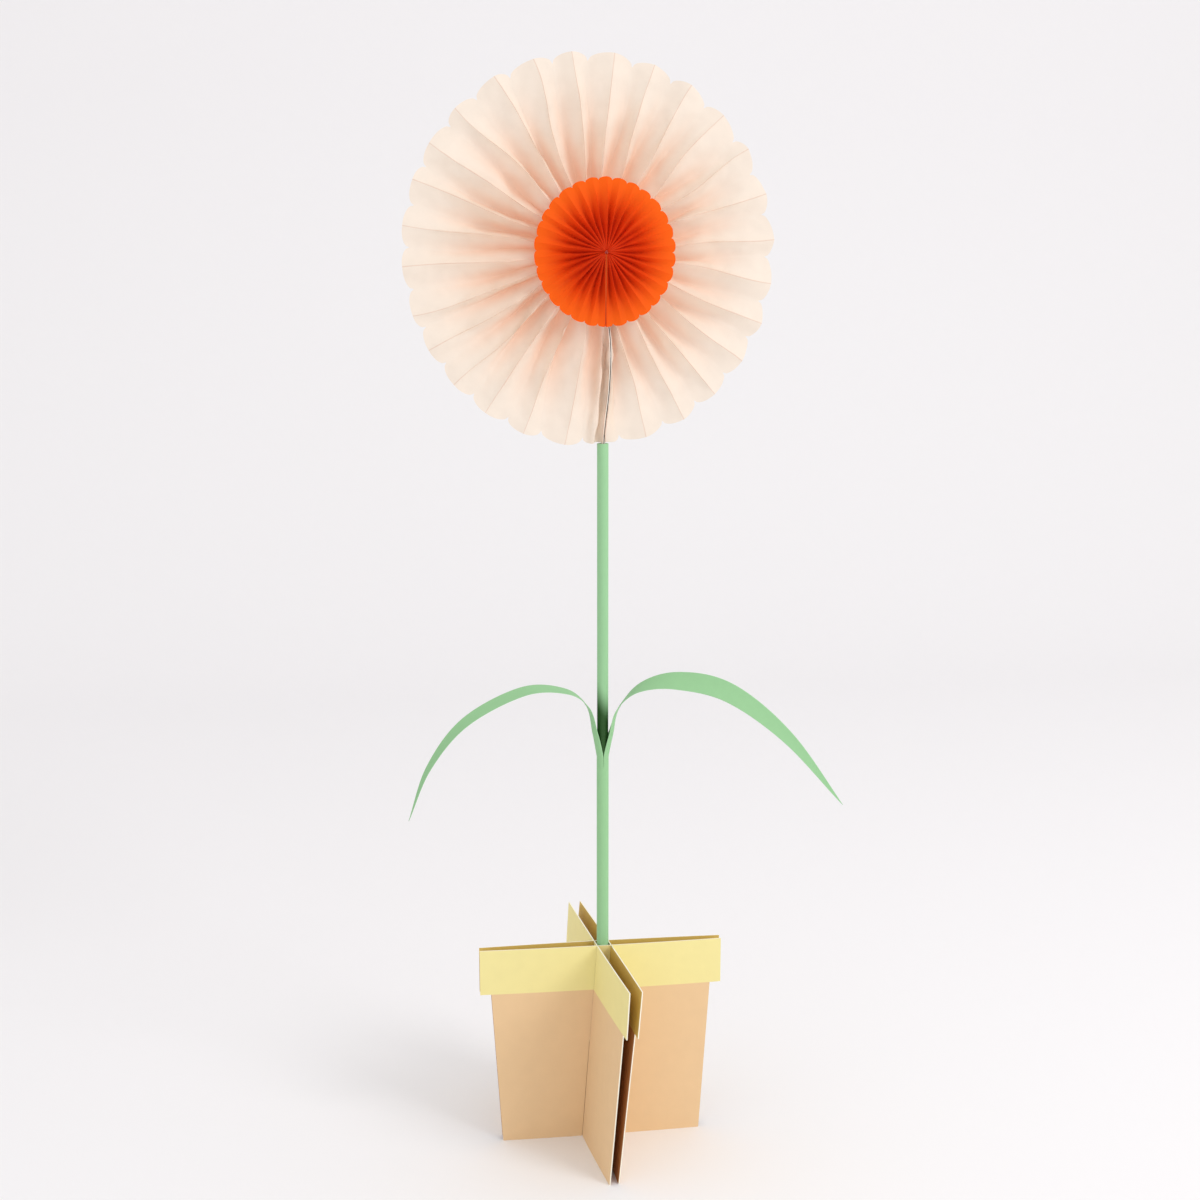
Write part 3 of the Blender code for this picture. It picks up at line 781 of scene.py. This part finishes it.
PAD_HEIGHT, SOLID_GAP = 3 * MM, 0.3 * MM
PETAL_SIDE, CENTRE_SIDE = -8.3 * MM, -2.3 * MM  # middle of each fan, sideways off the stem
pad_ahead = (PETALS["panel"] + PAD_HEIGHT) / 2 + SOLID_GAP
centre_ahead = pad_ahead + (PAD_HEIGHT + CENTRE["panel"]) / 2 + SOLID_GAP
petal_place = head_place(PETAL_SIDE, 0)
centre_place = head_place(CENTRE_SIDE, centre_ahead)
petal_fan = make_fan("petal_sheet", PETALS, petal_place, petal_tissue)
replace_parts(petal_fan, "petal_fan")
centre_fan = make_fan("centre_sheet", CENTRE, centre_place, centre_tissue)
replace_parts(centre_fan, "centre_fan")


# %% Slit cards
TAB_LENGTH, TAB_HALF, TAB_SHOULDER = 24 * MM, 2.6 * MM, 12 * MM
CARD_INSET = 0.3 * MM  # keeps a card's edges just inside the tissue
STRIP_ROWS = 48


def strip_finish(name, edge_colour, gap_shade_colour):
    """Card finish, with painted shade in a dark colour on the two faces that meet in the slit."""
    made, nodes, links, shader = start_material(name, 0.7, 0.2)
    inside = nodes.new("ShaderNodeAttribute")
    inside.attribute_name = "inside"
    painted_gap_shade = fade(nodes, links, inside.outputs["Fac"], 0.97, 0.995)
    colour = blend_colours(nodes, links, painted_gap_shade, edge_colour, gap_shade_colour)
    add_grain(nodes, links, shader, colour, 0.05, 0.00003)
    return made


def slit_card(name, fan, side, place, finish, reach, tab=False):
    """A strip in the slit: a thin rectangle swept from the hub to the rim, and on down as a tab."""
    inner, outer = side * fan["slit"] / 2, side * (fan["slit"] / 2 + fan["card"])
    sections = []
    for down in np.linspace(fan["hub"], reach + (TAB_LENGTH if tab else 0), STRIP_ROWS):
        front = card_front(fan, down) - CARD_INSET
        back = front - fan["panel"] + 2 * CARD_INSET
        aside = 0.0
        if tab:
            drop = smooth_step((down - reach + TAB_SHOULDER) / TAB_SHOULDER)
            front, back = front + (TAB_HALF - front) * drop, back - (TAB_HALF + back) * drop
            aside = float(slit_aside(down))
        sections.append([(aside + x, -y, -down) for x, y in ((inner, front), (outer, front),
                                                             (outer, back), (inner, back))])
    mesh = grid_mesh(name, at_place(sections, place), wrap=True)
    store(mesh, "inside", np.tile([1.0, 0.0, 0.0, 1.0], STRIP_ROWS))
    capped = bmesh.new()
    capped.from_mesh(mesh)
    bmesh.ops.holes_fill(capped, edges=capped.edges, sides=4)
    bmesh.ops.recalc_face_normals(capped, faces=capped.faces)
    capped.to_mesh(mesh)
    capped.free()
    mesh.set_sharp_from_angle(angle=math.radians(30))
    made = add_object(name, mesh, finish)
    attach(made, "root")
    return made


# Each card's second, dark colour is painted shade on the faces inside the slit.
petal_card = strip_finish("petal_card", (0.90, 0.80, 0.70), (0.10, 0.06, 0.05))
centre_card = strip_finish("centre_card", (0.85, 0.10, 0.01), (0.10, 0.01, 0.005))
petal_reach = PETALS["notch"] + 2.5 * MM  # the large fan's cards stand out a little below its folds
for word, side in (("left", -1), ("right", 1)):
    strip = slit_card(f"petal_strip_{word}", PETALS, side, petal_place, petal_card, petal_reach, tab=True)
    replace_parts(strip, f"petal_card_{word}")
    strip = slit_card(f"centre_strip_{word}", CENTRE, side, centre_place, centre_card, CENTRE["notch"])
    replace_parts(strip, f"centre_card_{word}")
    print("slit cards", word)

# %% [markdown]
# ## Foam pad
#
# A round self-adhesive pad holds the small fan on the large one. It hardly shows, so the solid
# stays and only gets a white foam finish.

# %% Foam finish
foam, nodes, links, shader = start_material("foam", 0.9, 0.1)
add_grain(nodes, links, shader, (0.85, 0.85, 0.83), 0.08, 0.0002, cloud=400.0, tooth=1800.0)
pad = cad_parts["glue_pad"]
pad.data.materials.clear()
pad.data.materials.append(foam)
